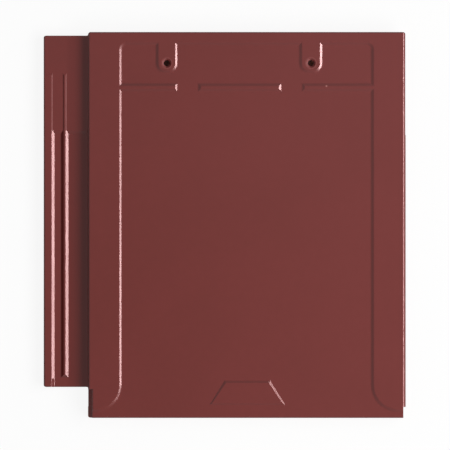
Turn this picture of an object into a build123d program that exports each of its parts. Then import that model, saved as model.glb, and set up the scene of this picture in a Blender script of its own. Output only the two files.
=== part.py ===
from build123d import *
from math import atan, degrees
import os

# Pressed interlocking clay roof tile, face up, in millimetres.
# x runs across the roof, y runs up the slope to the head and z points out of the roof.
# The origin lies under the middle of the whole tile, on the plane that it rests on.

# plate, the part of the tile that shows on the roof
plate_width = 318.9
plate_length = 386.9
plate_thickness = 13.0
tile_height = 30.0
left_draft = 0.8
right_draft = 2.0
tail_draft = 4.5
tail_draft_length = 28.5
tail_corner_setback = 2.5

# underlock, the sunk gutter along the left side that the next tile covers
underlock_width = 44.5
underlock_tail_setback = 30.9
underlock_head_setback = 3.4
outer_draft = 0.8
rim_width = 8.0
groove_floor_width = 6.2
rib_crest_width = 1.4
rib_height = 3.5
flank_run = 3.2
gutter_floor_thickness = 9.5
rib_tail_setback = 9.3
low_rib_height = 1.3
low_rib_length = 58.0
flat_length = 37.3
wall_thickness = 8.0
haunch_run = 6.0

# cover lock, the underside of the right margin that fits over such an underlock
joint_gap = 1.4
cover_roof_thickness = 11.0
seat_clearance = 1.0
lip_side_clearance = 0.8
lip_end_clearance = 1.5
skirt_width = 8.0
skirt_draft = 1.5

# tail lock, which reaches over the water bar of the course below
tail_skirt_thickness = 11.0
bar_clearance = 1.2
tail_rib_width = 6.5
tail_rib_clearance = 1.5

# hanging nibs
nib_width = 42.0
nib_root_thickness = 20.0
nib_tip_thickness = 12.0
nib_end_draft = 4.0
nib_head_setback = 4.0

# relief of the face
field_depth = 2.4
border_run = 3.0
left_margin = 32.9
right_margin = 33.5
head_band = 11.7
tail_strip = 7.2
margin_corner_radius = 26.0
field_corner_radius = 4.0
nail_hole_radius = 3.0
nail_rim_radius = 4.8
nail_head_distance = 31.1
left_nail_distance = 79.2
right_nail_distance = 95.2
left_pad_width = 19.2
right_pad_width = 20.6
pad_below_nail = 8.6
pad_end_radius = 8.0
bar_head_distance = 51.2
bar_width = 8.5
bar_gap_width = 20.2
left_gap_distance = 100.4
right_gap_distance = 114.3
wedge_top_width = 45.8
wedge_foot_width = 75.7
wedge_length = 24.5
wedge_tail_distance = 13.2
wedge_distance = 160.0
wedge_height = 2.2
wedge_foot_height = 1.0

# rounded edges of the pressed clay under its glaze
plan_corner_radius = 2.0
face_edge_radius = 2.0
relief_edge_radius = 2.0
relief_root_radius = 3.0
lock_corner_radius = 2.0
lock_edge_radius = 1.4
rib_radius = 1.5
lock_root_radius = 2.0
low_root_radius = 0.8
gutter_radius = 1.5
lip_radius = 0.6
nib_edge_radius = 2.0
nib_root_radius = 3.0
tail_edge_radius = 1.2

# levels and places worked out from the sizes above
left_x = -(plate_width + underlock_width) / 2
right_x = -left_x
plate_left = left_x + underlock_width
head_y = plate_length / 2
tail_y = -head_y
margin_relief = field_depth + seat_clearance
under_z = tile_height - plate_thickness
roof_z = tile_height - cover_roof_thickness
rim_z = roof_z - seat_clearance
low_floor_z = rim_z - low_rib_height
gutter_z = rim_z - rib_height
underlock_z = gutter_z - gutter_floor_thickness
lip_z = gutter_z + lip_end_clearance
low_lip_z = low_floor_z + lip_end_clearance
field_z = tile_height - field_depth
pitch = plate_width + joint_gap
underlock_head_y = head_y - underlock_head_setback
underlock_tail_y = tail_y + underlock_tail_setback
flat_y = underlock_head_y - flat_length
step_y = flat_y - low_rib_length
rim_x = left_x + rim_width
groove_x = rim_x + flank_run
rib_foot_x = groove_x + groove_floor_width
rib_x = rib_foot_x + flank_run
rib_end_x = rib_x + rib_crest_width
gutter_x = rib_end_x + flank_run
wall_x = plate_left + wall_thickness
skirt_y = tail_y + tail_skirt_thickness
half_run = border_run / 2
relief_angle = degrees(atan(border_run / field_depth))
field_left = plate_left + left_margin + half_run
field_right = right_x - right_margin - half_run
field_head = head_y - head_band - half_run
margin_end = tail_y + tail_strip - half_run
bend_radius = margin_corner_radius + half_run
bend_y = margin_end + bend_radius
left_nail_x = plate_left + left_nail_distance
right_nail_x = right_x - right_nail_distance
nail_y = head_y - nail_head_distance
batten_y = head_y - nib_head_setback - nib_root_thickness
bar_y = head_y - bar_head_distance - bar_width / 2
wedge_x = plate_left + wedge_distance
wedge_foot_y = tail_y + wedge_tail_distance
wedge_left = wedge_x - wedge_foot_width / 2
wedge_right = wedge_x + wedge_foot_width / 2
over = 10.0
slack = 0.1


# edges of a block whose middles lie between two heights, inside an area seen from above
def edges_between(block, low, high, left, right, tail, head):
    return (
        block.edges()
        .filter_by_position(Axis.Z, low - slack, high + slack)
        .filter_by_position(Axis.X, left, right)
        .filter_by_position(Axis.Y, tail, head)
    )


# those of them that lie level
def level_edges(block, z, left, right, tail, head):
    edges = edges_between(block, z, z, left, right, tail, head)
    return edges.filter_by(lambda edge: edge.bounding_box().size.Z < slack)


# drip wedge near the tail, highest at its upper edge and lowest at its foot
with BuildPart() as wedge:
    with BuildSketch(Plane.XY.offset(field_z)):
        with BuildLine():
            Polyline(
                (wedge_left, wedge_foot_y),
                (wedge_right, wedge_foot_y),
                (wedge_x + wedge_top_width / 2, wedge_foot_y + wedge_length),
                (wedge_x - wedge_top_width / 2, wedge_foot_y + wedge_length),
                close=True,
            )
        make_face()
    extrude(amount=wedge_height, taper=relief_angle)
    with BuildSketch(Plane.YZ):
        with BuildLine():
            Polyline(
                (wedge_foot_y, field_z + wedge_foot_height),
                (wedge_foot_y + wedge_length, field_z + wedge_height),
                (wedge_foot_y + wedge_length, field_z + 2 * wedge_height),
                (wedge_foot_y, field_z + 2 * wedge_height),
                close=True,
            )
        make_face()
    extrude(amount=plate_width, both=True, mode=Mode.SUBTRACT)

# press die for the face: the sunk field, less the pads, bars and wedge that stand in it
with BuildPart() as press_die:
    with BuildSketch(Plane.XY.offset(field_z)) as field:
        with BuildLine():
            left_side = Line((field_left, field_head), (field_left, bend_y))
            left_bend = RadiusArc(left_side @ 1, (field_left - bend_radius, margin_end), bend_radius)
            strip = Polyline(
                left_bend @ 1,
                (plate_left - over, margin_end),
                (plate_left - over, tail_y - over),
                (right_x + over, tail_y - over),
                (right_x + over, margin_end),
                (field_right + bend_radius, margin_end),
            )
            right_bend = RadiusArc(strip @ 1, (field_right, bend_y), bend_radius)
            Polyline(right_bend @ 1, (field_right, field_head), left_side @ 0)
        make_face()
        fillet(field.vertices().filter_by_position(Axis.Y, field_head - slack, head_y), field_corner_radius)
    extrude(amount=2 * field_depth, taper=-relief_angle)

    for x, width in ((left_nail_x, left_pad_width), (right_nail_x, right_pad_width)):
        pad_length = head_y - head_band + over / 2 - nail_y + pad_below_nail + half_run
        with BuildSketch(Plane.XY.offset(field_z)) as pad:
            with Locations((x, nail_y - pad_below_nail - half_run)):
                Rectangle(width + border_run, pad_length, align=(Align.CENTER, Align.MIN))
            fillet(pad.vertices().group_by(Axis.Y)[0], pad_end_radius + half_run)
        extrude(amount=field_depth, taper=relief_angle, mode=Mode.SUBTRACT)

    left_gap = plate_left + left_gap_distance
    right_gap = right_x - right_gap_distance
    for start, end in (
        (plate_left + left_margin - over, left_gap - bar_gap_width / 2),
        (left_gap + bar_gap_width / 2, right_gap - bar_gap_width / 2),
        (right_gap + bar_gap_width / 2, right_x - right_margin + over),
    ):
        with BuildSketch(Plane.XY.offset(field_z)):
            with Locations(((start + end) / 2, bar_y)):
                Rectangle(end - start, bar_width)
        extrude(amount=field_depth, taper=relief_angle, mode=Mode.SUBTRACT)
    add(wedge.part, mode=Mode.SUBTRACT)

# plate with the cover lock and tail lock on its underside
with BuildPart() as plate:
    with BuildSketch(Plane.XZ.offset(-head_y)):
        with BuildLine():
            Polyline(
                (plate_left, 0),
                (plate_left, margin_relief),
                (plate_left + left_draft, tile_height),
                (right_x - right_draft, tile_height),
                (right_x, lip_z),
                (right_x, 0),
                close=True,
            )
        make_face()
    extrude(amount=plate_length)

    # left wall beside the tail, sloped further in
    with BuildSketch(Plane.XZ.offset(-tail_y - tail_draft_length)):
        with BuildLine():
            Polyline(
                (plate_left - over, margin_relief),
                (plate_left, margin_relief),
                (plate_left + tail_draft, tile_height),
                (plate_left + tail_draft, tile_height + over),
                (plate_left - over, tile_height + over),
                close=True,
            )
        make_face()
    extrude(amount=tail_draft_length + over, mode=Mode.SUBTRACT)

    uprights = plate.edges().filter_by(lambda edge: edge.bounding_box().size.Z > slack).group_by(Axis.Y)
    fillet(uprights[0] + uprights[-1], plan_corner_radius)

    # hollow underside, from the tail skirt to the head
    with BuildSketch(Plane.XZ.offset(-skirt_y)):
        with BuildLine():
            Polyline(
                (plate_left - over, -over),
                (plate_left - over, underlock_z),
                (wall_x, underlock_z),
                (wall_x + haunch_run, under_z),
                (left_x + pitch - lip_side_clearance - flank_run, under_z),
                (left_x + pitch - lip_side_clearance, roof_z),
                (rim_x + pitch + lip_side_clearance, roof_z),
                (groove_x + pitch + lip_side_clearance, lip_z),
                (rib_foot_x + pitch - lip_side_clearance, lip_z),
                (rib_x + pitch - lip_side_clearance, roof_z),
                (right_x - skirt_width - skirt_draft, roof_z),
                (right_x - skirt_width, lip_z),
                (right_x + over, lip_z),
                (right_x + over, -over),
                close=True,
            )
        make_face()
    extrude(amount=-plate_length, mode=Mode.SUBTRACT)

    # shorter lips toward the head, where the next gutter is shallow
    with BuildSketch(Plane.XY.offset(low_lip_z)):
        with Locations((left_x + pitch, step_y - flank_run - lip_end_clearance)):
            Rectangle(plate_width, plate_length, align=(Align.MIN, Align.MIN))
    extrude(amount=-tile_height, mode=Mode.SUBTRACT)

    # tail skirt cut back over the margins of the tile below, to stand on its field
    with BuildSketch(Plane.XZ.offset(-skirt_y)):
        with BuildLine():
            Polyline(
                (plate_left - over, -over),
                (plate_left - over, margin_relief),
                (field_left + bar_clearance - border_run, margin_relief),
                (field_left + bar_clearance, 0),
                (field_right - bar_clearance, 0),
                (field_right - bar_clearance + border_run, margin_relief),
                (right_x + over, margin_relief),
                (right_x + over, -over),
                close=True,
            )
        make_face()
    extrude(amount=tail_skirt_thickness, mode=Mode.SUBTRACT)

    # rib that hangs behind the water bar of the tile below
    with BuildSketch(Plane.XY.offset(under_z)):
        with Locations((field_left + bar_clearance, skirt_y + bar_width + 2 * bar_clearance)):
            Rectangle(
                field_right - field_left - 2 * bar_clearance,
                tail_rib_width,
                align=(Align.MIN, Align.MIN),
            )
    extrude(amount=tail_rib_clearance - under_z)

    # tips of the lips, the tail skirt and the rib behind it, rounded
    cover = (left_x + pitch, right_x - slack, tail_y, head_y)
    tips = level_edges(plate, lip_z, *cover) + level_edges(plate, low_lip_z, *cover)
    fillet(tips.filter_by(Axis.Y), lip_radius)
    tail_end = (plate_left, right_x, tail_y, bend_y)
    feet = level_edges(plate, 0, *tail_end) + level_edges(plate, tail_rib_clearance, *tail_end)
    fillet(feet.filter_by(Axis.X), tail_edge_radius)

    # relief of the face, rounded at its upper edges and its roots
    add(press_die.part, mode=Mode.SUBTRACT)
    inside = (
        plate_left + tail_draft + slack,
        right_x - tail_corner_setback - slack,
        tail_y + plan_corner_radius,
        head_y - plan_corner_radius,
    )
    fillet(level_edges(plate, tile_height, *inside), relief_edge_radius)
    wedge_area = (wedge_left, wedge_right, wedge_foot_y - slack, wedge_foot_y + wedge_length - slack)
    wedge_edges = level_edges(plate, field_z, *wedge_area)
    fillet(level_edges(plate, field_z, *inside) - wedge_edges, relief_root_radius)
    walls = plate.faces().filter_by(lambda face: face.bounding_box().size.Z > cover_roof_thickness)
    fillet(walls.edges().filter_by_position(Axis.Z, field_z - slack, tile_height), face_edge_radius)

    # right end of the tail, set back
    with BuildSketch(Plane.XY):
        with Locations((right_x - tail_corner_setback, skirt_y)):
            Rectangle(over, over + tail_skirt_thickness, align=(Align.MIN, Align.MAX))
    extrude(amount=tile_height, mode=Mode.SUBTRACT)

# underlock with its outer rim, groove, middle rib and gutter
with BuildPart() as underlock:
    with BuildSketch(Plane.XZ.offset(-underlock_head_y)):
        with BuildLine():
            Polyline(
                (left_x, underlock_z),
                (left_x + outer_draft, rim_z),
                (rim_x, rim_z),
                (groove_x, gutter_z),
                (wall_x, gutter_z),
                (wall_x, underlock_z),
                close=True,
            )
        make_face()
    extrude(amount=underlock_head_y - underlock_tail_y)
    with BuildSketch(Plane.XZ.offset(-underlock_head_y)):
        with BuildLine():
            Polyline(
                (rib_foot_x, gutter_z),
                (rib_x, rim_z),
                (rib_end_x, rim_z),
                (gutter_x, gutter_z),
                close=True,
            )
        make_face()
    extrude(amount=underlock_head_y - underlock_tail_y - rib_tail_setback)

    # the gutter runs up to a shallow floor toward the head
    with BuildSketch(Plane.YZ.offset(rim_x)):
        with BuildLine():
            Polyline(
                (step_y - flank_run, gutter_z),
                (step_y, low_floor_z),
                (underlock_head_y, low_floor_z),
                (underlock_head_y, gutter_z),
                close=True,
            )
        make_face()
    extrude(amount=wall_x - rim_x)

    # the rim and rib run out before the head, and the rib before the tail
    rib_tail_y = underlock_tail_y + rib_tail_setback
    with BuildSketch(Plane.YZ.offset(left_x)):
        with BuildLine():
            Polyline(
                (flat_y - flank_run, rim_z),
                (flat_y, low_floor_z),
                (head_y, low_floor_z),
                (head_y, rim_z + over),
                (flat_y - flank_run, rim_z + over),
                close=True,
            )
        make_face()
    extrude(amount=wall_x - left_x, mode=Mode.SUBTRACT)
    with BuildSketch(Plane.YZ.offset(rib_foot_x)):
        with BuildLine():
            Polyline(
                (rib_tail_y, gutter_z),
                (rib_tail_y + flank_run, rim_z),
                (rib_tail_y + flank_run, rim_z + over),
                (rib_tail_y, rim_z + over),
                close=True,
            )
        make_face()
    extrude(amount=gutter_x - rib_foot_x, mode=Mode.SUBTRACT)

    # corners, rim, rib, outline, tail end and gutter, rounded
    outer_edges = underlock.faces().sort_by(Axis.X)[0].edges().sort_by(Axis.Y)
    fillet([outer_edges[0], outer_edges[-1]], lock_corner_radius)
    inside = (left_x + 2 * rib_radius, wall_x - slack, underlock_tail_y + slack, underlock_head_y)
    fillet(level_edges(underlock, rim_z, *inside), rib_radius)
    outer_face = underlock.faces().sort_by(Axis.X)[0]
    head_face = underlock.faces().sort_by(Axis.Y)[-1]
    outline = outer_face.edges().filter_by_position(Axis.Z, gutter_z, tile_height)
    fillet(outline + head_face.edges().sort_by(Axis.Z)[-1:], lock_edge_radius)
    tail_face = underlock.faces().sort_by(Axis.Y)[0]
    fillet(tail_face.edges().filter_by_position(Axis.Z, gutter_z - slack, tile_height), lip_radius)
    fillet(level_edges(underlock, gutter_z, *inside), lock_root_radius)
    fillet(level_edges(underlock, low_floor_z, *inside).filter_by(Axis.Y), low_root_radius)

# hanging nib, square to the batten that it bears on and sloped toward the head
with BuildPart() as nib:
    with BuildSketch(Plane.YZ):
        with BuildLine():
            Polyline(
                (batten_y, 0),
                (batten_y, under_z),
                (head_y - nib_head_setback, under_z),
                (batten_y + nib_tip_thickness, 0),
                close=True,
            )
        make_face()
    extrude(amount=nib_width / 2, both=True)
    with BuildSketch(Plane.XZ):
        with BuildLine():
            Polyline(
                (nib_end_draft - nib_width / 2, 0),
                (-nib_width / 2, under_z),
                (nib_width / 2, under_z),
                (nib_width / 2 - nib_end_draft, 0),
                close=True,
            )
        make_face()
    extrude(amount=-plate_length, mode=Mode.INTERSECT)
    fillet(nib.faces().sort_by(Axis.Z)[0].edges(), nib_edge_radius)

# the whole tile, pressed as one piece
with BuildPart() as roof_tile:
    add(plate.part)
    add(underlock.part)
    with Locations((left_nail_x, 0), (right_nail_x, 0)):
        add(nib.part)
    with Locations((left_nail_x, nail_y, tile_height), (right_nail_x, nail_y, tile_height)):
        CounterSinkHole(nail_hole_radius, nail_rim_radius, depth=tile_height)

    # roots of the nibs and of the wall beside the gutter, rounded
    nib_roots = level_edges(roof_tile, under_z, field_left, field_right, batten_y - slack, head_y - slack)
    fillet(nib_roots, nib_root_radius)
    wall = (plate_left - slack, plate_left + left_draft, underlock_tail_y, underlock_head_y)
    fillet(edges_between(roof_tile, gutter_z, low_floor_z, *wall), gutter_radius)

roof_tile.part.label = "roof_tile"
os.makedirs("parts", exist_ok=True)
export_step(roof_tile.part, "parts/roof_tile.step")
print(roof_tile.part.bounding_box(), roof_tile.part.volume, len(roof_tile.part.solids()))
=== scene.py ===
import math

import bpy
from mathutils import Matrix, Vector
from mathutils.kdtree import KDTree


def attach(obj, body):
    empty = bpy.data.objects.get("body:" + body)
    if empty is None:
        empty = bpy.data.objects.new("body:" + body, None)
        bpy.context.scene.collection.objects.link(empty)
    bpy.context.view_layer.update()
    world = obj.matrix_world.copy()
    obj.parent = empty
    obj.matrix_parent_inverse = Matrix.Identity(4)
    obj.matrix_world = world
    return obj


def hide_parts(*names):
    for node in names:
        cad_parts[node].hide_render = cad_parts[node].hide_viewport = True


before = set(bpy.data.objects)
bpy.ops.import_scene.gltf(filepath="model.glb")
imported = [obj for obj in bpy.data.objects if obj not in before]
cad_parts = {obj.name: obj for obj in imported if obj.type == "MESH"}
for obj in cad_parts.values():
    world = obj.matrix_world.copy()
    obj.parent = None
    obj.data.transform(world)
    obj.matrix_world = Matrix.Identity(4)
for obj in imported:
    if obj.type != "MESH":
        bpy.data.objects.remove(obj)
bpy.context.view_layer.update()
print("frame loaded")


# shader maths: a node's output that can be added, multiplied and limited
class Wire:
    def __init__(self, tree, socket):
        self.tree = tree
        self.socket = socket

    def out(self, name):
        return Wire(self.tree, self.socket.node.outputs[name])

    def maths(self, operation, *values, clamp=False):
        settings = {"operation": operation, "use_clamp": clamp}
        return addNode(self.tree, "ShaderNodeMath", settings, dict(enumerate(values)))

    def __add__(self, other):
        return self.maths("ADD", self, other)

    def __sub__(self, other):
        return self.maths("SUBTRACT", self, other)

    def __mul__(self, other):
        return self.maths("MULTIPLY", self, other)

    def __radd__(self, other):
        return self.maths("ADD", other, self)

    def __rsub__(self, other):
        return self.maths("SUBTRACT", other, self)

    def __rmul__(self, other):
        return self.maths("MULTIPLY", other, self)

    # 0 below the first value, 1 above the second, smooth between
    def step(self, low, high):
        settings = {"interpolation_type": "SMOOTHSTEP", "clamp": True}
        limits = {"Value": self, "From Min": low, "From Max": high}
        return addNode(self.tree, "ShaderNodeMapRange", settings, limits)

    # 1 between two values, 0 outside, with soft ends
    def between(self, low, high, soft):
        return self.step(low - soft, low + soft) * (1 - self.step(high - soft, high + soft))


# any node: its settings first, then a value or a link for each socket named
def addNode(tree, kind, settings=None, values=None, output=0):
    made = tree.nodes.new(kind)
    for name, value in (settings or {}).items():
        setattr(made, name, value)
    for name, value in (values or {}).items():
        if isinstance(value, Wire):
            tree.links.new(value.socket, made.inputs[name])
        else:
            made.inputs[name].default_value = value
    return Wire(tree, made.outputs[output])


def mixColour(tree, share, first, second):
    return addNode(tree, "ShaderNodeMix", {"data_type": "RGBA"}, {0: share, 6: first, 7: second}, output=2)


def noise(tree, place, scale, detail):
    return addNode(tree, "ShaderNodeTexNoise", {}, {"Vector": place, "Scale": scale, "Detail": detail})


# noise with its middle values spread from 0 to 1
def patches(tree, place, s):
    return noise(tree, place, s["scale"], s["detail"]).step(*s["spread"])


# 1 near a place on the face, fading to 0 between two distances from it
def spot(tree, x, y, place, fade):
    offset = addNode(tree, "ShaderNodeCombineXYZ", {}, {"X": x - place[0], "Y": y - place[1]})
    away = addNode(tree, "ShaderNodeVectorMath", {"operation": "LENGTH"}, {0: offset}, output="Value")
    return 1 - away.step(*fade)


# a colour as it shows on a screen, in the shader's own scale
def screenColour(red, green, blue):
    def linear(value):
        share = value / 255
        return share / 12.92 if share <= 0.04045 else ((share + 0.055) / 1.055) ** 2.4
    return (linear(red), linear(green), linear(blue), 1)


def newMaterial(name):
    made = bpy.data.materials.new(name)
    made.use_nodes = True
    return made, made.node_tree, made.node_tree.nodes["Principled BSDF"]


# the camera stands straight above the tile
cameraSettings = {
    "height": 12.0,
    "across": 0.0004,
    "along": 0.0,
    "pictureWidth": 0.4511,
    "faceLevel": 0.03,
    "sensorWidth": 36,
    "farthest": 50,
}


def makeCamera(s):
    data = bpy.data.cameras.new("camera")
    data.sensor_width = s["sensorWidth"]
    data.lens = data.sensor_width * (s["height"] - s["faceLevel"]) / s["pictureWidth"]
    data.clip_end = s["farthest"]
    camera = bpy.data.objects.new("camera", data)
    camera.location = (s["across"], s["along"], s["height"])
    bpy.context.scene.collection.objects.link(camera)
    bpy.context.scene.camera = camera


makeCamera(cameraSettings)
print("camera placed")


# the pressed tile, its faces joined into one skin that keeps the solid's own shading
tileSettings = {
    "joinWithin": 0.000001,
    "sameBend": math.cos(math.radians(12)),
    "flatBend": math.cos(math.radians(0.3)),
    "flatWeight": 1000,
}


# the shading of every face corner, found again by place now that the faces are joined
def findCorners(source, mesh):
    places = KDTree(len(source.polygons))
    for face in source.polygons:
        places.insert(face.center, face.index)
    places.balance()
    corners = []
    for face in mesh.polygons:
        old = source.polygons[places.find(face.center)[1]]
        for vertex in face.vertices:
            gaps = [(source.vertices[other].co - mesh.vertices[vertex].co).length for other in old.vertices]
            loop = old.loop_indices[gaps.index(min(gaps))]
            corners.append(source.corner_normals[loop].vector.copy())
    return corners


def isFlat(corners, s):
    return all(corners[0].dot(corner) > s["flatBend"] for corner in corners)


# at each point the flat faces lead, so that the rounded edges run into them without a crease
def smoothCorners(mesh, corners, s):
    around = {}
    for face in mesh.polygons:
        own = [corners[loop] for loop in face.loop_indices]
        weight = face.area * (s["flatWeight"] if isFlat(own, s) else 1)
        for vertex, corner in zip(face.vertices, own):
            around.setdefault(vertex, []).append((corner, weight))
    smoothed = []
    for loop, corner in zip(mesh.loops, corners):
        total = Vector()
        for other, weight in around[loop.vertex_index]:
            if corner.dot(other) > s["sameBend"]:
                total += other * weight
        smoothed.append(total.normalized())
    return smoothed


def makeTile(s):
    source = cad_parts["roof_tile"].data
    made = bpy.data.objects.new("pressedTile", source.copy())
    bpy.context.scene.collection.objects.link(made)
    bpy.ops.object.select_all(action="DESELECT")
    made.select_set(True)
    bpy.context.view_layer.objects.active = made
    bpy.ops.object.mode_set(mode="EDIT")
    bpy.ops.mesh.select_all(action="SELECT")
    bpy.ops.mesh.remove_doubles(threshold=s["joinWithin"])
    bpy.ops.object.mode_set(mode="OBJECT")
    bpy.ops.object.shade_smooth()
    corners = findCorners(source, made.data)
    made.data.normals_split_custom_set(smoothCorners(made.data, corners, s))
    return made


tile = makeTile(tileSettings)
print("tile joined into one skin,", len(tile.data.polygons), "faces")


# wine-red engobe, sprayed on the face and edges
# places are in metres, and a slope is 1 where it faces straight up, right or to the head
engobeSettings = {
    "colour": screenColour(108, 41, 37),
    "deepColour": screenColour(104, 38, 33),
    "clouds": {"scale": 11.0, "detail": 3.0, "spread": (0.3, 0.7)},
    "cloudShare": 0.6,
    "mottle": {"scale": 140.0, "detail": 3.0, "spread": (0.25, 0.75)},
    "mottleShare": 0.4,
    "specks": {"scale": 1700.0, "detail": 1.0, "spread": (0.72, 0.8)},
    "speckColour": screenColour(92, 42, 41),
    "speckShare": 0.5,
    # painted sheen toward the right and the head
    "paintedSheenColour": screenColour(114, 54, 53),
    "paintedSheenToRight": (-0.16, 0.2),
    "paintedSheenToHead": (-0.1, 0.2),
    "paintedSheenShare": (0.32, 0.24),
    # painted shade in the gutter beside the plate's wall
    "paintedShadeColour": screenColour(90, 27, 22),
    "gutterX": (-0.1575, -0.1365),
    "gutterSoft": 0.003,
    "gutterTop": (0.018, 0.022),
    "gutterShadeShare": 0.5,
    # painted shade on the slopes turned from the lamps
    "turnedUp": (0.75, 0.97),
    "turnedRight": (0.05, 0.25),
    "turnedHead": (-0.4, -0.1),
    "shadedSlopeShare": 0.6,
    # a painted glint on a glaze speck
    "paintedGlintColour": screenColour(170, 112, 106),
    "paintedGlintPlace": (0.1021, 0.1393),
    "paintedGlintSize": (0.0006, 0.0012),
    # painted shade on the rounded edges turned from the lamps
    "edgeShadeColour": screenColour(40, 18, 17),
    "edgeFoot": (0.14, 0.3),
    "edgeUp": (0.3, 0.75),
    "edgeRight": (0.0, 0.3),
    "edgeShadeShare": 0.8,
    "ior": 1.45,
    "tint": (1, 0.67, 0.67, 1),
    "roughness": 0.18,
    "roughnessSpread": 0.05,
    "wallUp": (0.2, 0.5),
    "dullWalls": 0.35,
    "nailHoles": ((-0.058, 0.16235), (0.0865, 0.16235)),
    "nailRing": (0.0055, 0.0062),
    "dullHoles": 0.5,
    "ribSlopeUp": (0.97, 0.99),
    "dullRibs": 0.2,
    "lockX": (-0.154, -0.150),
    "lowRibsY": (0.0945, 0.0955),
    "ribEndsY": (-0.1550, -0.1535),
    "wave": {"scale": 28.0, "detail": 1.0, "height": 0.00008},
    "peel": {"scale": 620.0, "detail": 1.0, "height": 0.000012},
    "pooledUp": (0.3, 0.6),
    "pooledRight": (0.05, 0.2),
    "pooling": 0.77,
    "lowRibsPooling": 1.3,
    "ribEndsPooling": 0.35,
    "rightEdgeX": (0.1750, 0.1765),
    "rightEdgePooling": 0.6,
    "wallFoot": (-0.05, 0.05),
    "wallPooling": 0.8,
}
# bare fired clay, beneath and along the foot of the walls
claySettings = {
    "colour": screenColour(190, 112, 82),
    "deepColour": screenColour(160, 88, 64),
    "tone": {"scale": 26.0, "detail": 5.0, "spread": (0.3, 0.7)},
    "gritColour": screenColour(214, 150, 118),
    "grit": {"scale": 1100.0, "detail": 2.0, "spread": (0.66, 0.74)},
    "gritShare": 0.7,
    "roughness": 0.82,
    "grain": {"scale": 800.0, "detail": 4.0, "height": 0.00012},
    "ragged": {"scale": 90.0, "detail": 4.0},
    "hollowX": (-0.1325, 0.1775),
    "hollowY": (-0.1875, 0.1915),
    "hollowSoft": 0.0006,
    "hollowTop": (0.0195, 0.0199),
    "downTurn": (-0.45, -0.2),
    "downRagged": 0.5,
    "lowEdge": (0.0045, 0.0075),
    "lowRagged": 0.010,
    "lowEdgeUp": (0.2, 0.4),
}


# where the spray didn't reach: the hollow underside, what faces down and the foot of the walls
def bareShare(tree, place, x, y, z, facing, s):
    ragged = noise(tree, place, s["ragged"]["scale"], s["ragged"]["detail"]) - 0.5
    hollow = x.between(*s["hollowX"], s["hollowSoft"]) * y.between(*s["hollowY"], s["hollowSoft"])
    hollow = hollow * (1 - z.step(*s["hollowTop"]))
    downward = 1 - (facing + ragged * s["downRagged"]).step(*s["downTurn"])
    lowEdge = 1 - (z + ragged * s["lowRagged"]).step(*s["lowEdge"])
    lowEdge = lowEdge * (1 - facing.step(*s["lowEdgeUp"]))
    bare = hollow.maths("MAXIMUM", hollow, downward)
    return bare.maths("MAXIMUM", bare, lowEdge)


def waves(tree, place, s):
    return noise(tree, place, s["scale"], s["detail"]) * s["height"]


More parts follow.
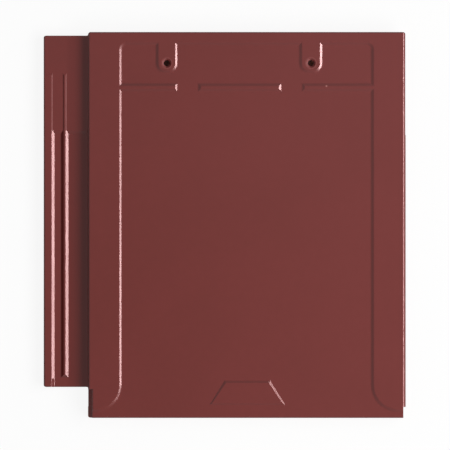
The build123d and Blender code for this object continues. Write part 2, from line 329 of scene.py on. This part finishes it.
def makeEngobe(s, clay):
    material, tree, shader = newMaterial("wineRedEngobe")
    place = addNode(tree, "ShaderNodeTexCoord", output="Object")
    normal = addNode(tree, "ShaderNodeSeparateXYZ", {}, {0: place.out("Normal")})
    sideways, lean, facing = normal.out("X"), normal.out("Y"), normal.out("Z")
    parts = addNode(tree, "ShaderNodeSeparateXYZ", {}, {0: place})
    x, y, z = parts.out("X"), parts.out("Y"), parts.out("Z")
    bare = bareShare(tree, place, x, y, z, facing, clay)

    # engobe: slow clouds, a finer mottle and small dark specks
    clouds = patches(tree, place, s["clouds"])
    mottle = patches(tree, place, s["mottle"])
    specks = patches(tree, place, s["specks"])
    fresh = clouds * s["cloudShare"] + mottle * s["mottleShare"]
    red = mixColour(tree, fresh, s["deepColour"], s["colour"])
    # painted shade: darker in the gutter, where the plate's wall shades it
    gutterShade = x.between(*s["gutterX"], s["gutterSoft"]) * (1 - z.step(*s["gutterTop"]))
    red = mixColour(tree, gutterShade * s["gutterShadeShare"], red, s["paintedShadeColour"])
    # painted shade: darker on the slopes that turn left or to the head, away from the lamps
    shadedSlopes = (1 - facing.step(*s["turnedUp"])) * (1 - sideways.step(*s["turnedRight"]))
    shadedSlopes = shadedSlopes * lean.step(*s["turnedHead"])
    red = mixColour(tree, shadedSlopes * s["shadedSlopeShare"], red, s["paintedShadeColour"])
    # painted sheen: a little paler toward the right and the head, where the lamps' light and reflection fall
    paintedSheen = x.step(*s["paintedSheenToRight"]) * s["paintedSheenShare"][0] + y.step(*s["paintedSheenToHead"]) * s["paintedSheenShare"][1]
    red = mixColour(tree, paintedSheen, red, s["paintedSheenColour"])
    red = mixColour(tree, specks * s["speckShare"], red, s["speckColour"])
    # a painted glint: a small pale spot on one speck of the face
    red = mixColour(tree, spot(tree, x, y, s["paintedGlintPlace"], s["paintedGlintSize"]), red, s["paintedGlintColour"])
    # painted shade: darker on the rounded edges that turn away from the lamps on the right
    shadedEdges = facing.step(*s["edgeFoot"]) * (1 - facing.step(*s["edgeUp"]))
    shadedEdges = shadedEdges * (1 - sideways.step(*s["edgeRight"]))
    red = mixColour(tree, shadedEdges * s["edgeShadeShare"], red, s["edgeShadeColour"])

    # fired clay: broad tone and pale grit
    earth = mixColour(tree, patches(tree, place, clay["tone"]), clay["deepColour"], clay["colour"])
    earth = mixColour(tree, patches(tree, place, clay["grit"]) * clay["gritShare"], earth, clay["gritColour"])
    colour = mixColour(tree, bare, red, earth)

    # duller where the spray is thin: the upright walls, the rims of the nail holes and the low ribs
    gloss = s["roughness"] + (mottle - 0.5) * s["roughnessSpread"] + (clouds - 0.5) * s["roughnessSpread"]
    lock = 1 - x.step(*s["lockX"])
    lowRibs = lock * y.step(*s["lowRibsY"])
    leftHole, rightHole = s["nailHoles"]
    rings = spot(tree, x, y, leftHole, s["nailRing"]) + spot(tree, x, y, rightHole, s["nailRing"])
    walls = 1 - facing.step(*s["wallUp"])
    ribSlopes = lowRibs * (1 - facing.step(*s["ribSlopeUp"]))
    gloss = gloss + ribSlopes * s["dullRibs"] + rings * s["dullHoles"] + walls * s["dullWalls"]
    roughness = gloss * (1 - bare) + bare * clay["roughness"]

    # pressed surface: long waves and orange peel in the engobe, grain in the bare clay
    height = waves(tree, place, s["wave"]) + waves(tree, place, s["peel"])
    height = height + waves(tree, place, clay["grain"]) * bare

    # the glaze pools on the slopes, so they shine as if they were gentler
    ribEnds = lock * (1 - y.step(*s["ribEndsY"]))
    depth = s["pooling"] + lowRibs * s["lowRibsPooling"] - ribEnds * s["ribEndsPooling"]
    depth = depth + x.step(*s["rightEdgeX"]) * s["rightEdgePooling"]
    slopes = facing.step(*s["pooledUp"]) * sideways.step(*s["pooledRight"])
    upright = facing.step(*s["wallFoot"]) * (1 - facing.step(*s["pooledUp"]))
    lift = addNode(tree, "ShaderNodeCombineXYZ", {}, {"Z": slopes * depth + upright * s["wallPooling"]})
    pooled = addNode(tree, "ShaderNodeVectorMath", {"operation": "ADD"}, {0: place.out("Normal"), 1: lift})
    pooled = addNode(tree, "ShaderNodeVectorMath", {"operation": "NORMALIZE"}, {0: pooled})
    bumpValues = {"Strength": 1.0, "Distance": 1.0, "Height": height, "Normal": pooled}
    relief = addNode(tree, "ShaderNodeBump", {}, bumpValues)

    tree.links.new(colour.socket, shader.inputs["Base Color"])
    tree.links.new(roughness.socket, shader.inputs["Roughness"])
    tree.links.new(relief.socket, shader.inputs["Normal"])
    shader.inputs["IOR"].default_value = s["ior"]
    shader.inputs["Specular Tint"].default_value = s["tint"]
    return material


tile.data.materials.clear()
tile.data.materials.append(makeEngobe(engobeSettings, claySettings))
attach(tile, "root")
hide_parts("roof_tile")
print("engobe and clay made")


# a white floor, plain where the nail holes look down on it, and a white sky
stageSettings = {
    "worldLevel": 0.28,
    "floorWidth": 8.0,
    "floorColour": (0.9, 0.9, 0.9, 1),
    "floorRoughness": 0.9,
    "glow": 0.9,
    "coveredX": (-0.12, 0.13),
    "coveredY": (0.1, 0.18),
    "coveredSoft": 0.001,
}
# two lamps from the right: a broad one for the colours and a long one for the gloss
lampSettings = {
    "key": {"place": (1.27, -0.22, 1.80), "size": (2.2, 1.1), "power": 47.0, "sheen": False},
    "strip": {"place": (1.41, -0.2, 1.41), "size": (3.4, 0.36), "power": 137.0, "sheen": True},
}


def makeLamp(name, s):
    data = bpy.data.lights.new(name, "AREA")
    data.shape = "RECTANGLE"
    data.size, data.size_y = s["size"]
    data.energy = s["power"]
    lamp = bpy.data.objects.new(name, data)
    lamp.location = s["place"]
    lamp.rotation_euler = (-lamp.location).to_track_quat("-Z", "Y").to_euler()
    lamp.visible_glossy = s["sheen"]
    lamp.visible_diffuse = not s["sheen"]
    bpy.context.scene.collection.objects.link(lamp)


# what the camera sees, directly or in a gloss or through glass
def seenRays(tree):
    rays = addNode(tree, "ShaderNodeLightPath", output="Is Camera Ray")
    return rays.maths("ADD", rays + rays.out("Is Glossy Ray"), rays.out("Is Transmission Ray"), clamp=True)


def makeFloor(s):
    bpy.ops.object.select_all(action="DESELECT")
    bpy.ops.mesh.primitive_plane_add(size=s["floorWidth"])
    floor = bpy.context.object
    floor.name = "floor"
    material, tree, shader = newMaterial("whiteFloor")
    shader.inputs["Base Color"].default_value = s["floorColour"]
    shader.inputs["Roughness"].default_value = s["floorRoughness"]
    shader.inputs["Specular IOR Level"].default_value = 0.0
    place = addNode(tree, "ShaderNodeTexCoord", output="Object")
    parts = addNode(tree, "ShaderNodeSeparateXYZ", {}, {0: place})
    x, y = parts.out("X"), parts.out("Y")
    covered = x.between(*s["coveredX"], s["coveredSoft"]) * y.between(*s["coveredY"], s["coveredSoft"])
    glow = addNode(tree, "ShaderNodeEmission", {}, {"Color": (1, 1, 1, 1), "Strength": 1.0})
    share = seenRays(tree) * (1 - covered) * s["glow"]
    surface = addNode(tree, "ShaderNodeMixShader", {}, {0: share, 1: Wire(tree, shader.outputs[0]), 2: glow})
    tree.links.new(surface.socket, tree.nodes["Material Output"].inputs["Surface"])
    floor.data.materials.append(material)


def makeSky(s):
    world = bpy.data.worlds.new("studio")
    bpy.context.scene.world = world
    world.use_nodes = True
    tree = world.node_tree
    strength = s["worldLevel"] + seenRays(tree) * (1 - s["worldLevel"])
    sky = tree.nodes["Background"]
    sky.inputs["Color"].default_value = (1, 1, 1, 1)
    tree.links.new(strength.socket, sky.inputs["Strength"])


makeFloor(stageSettings)
makeSky(stageSettings)
for name, settings in lampSettings.items():
    makeLamp(name, settings)
bpy.context.scene.view_settings.view_transform = "Standard"
print("stage lit")
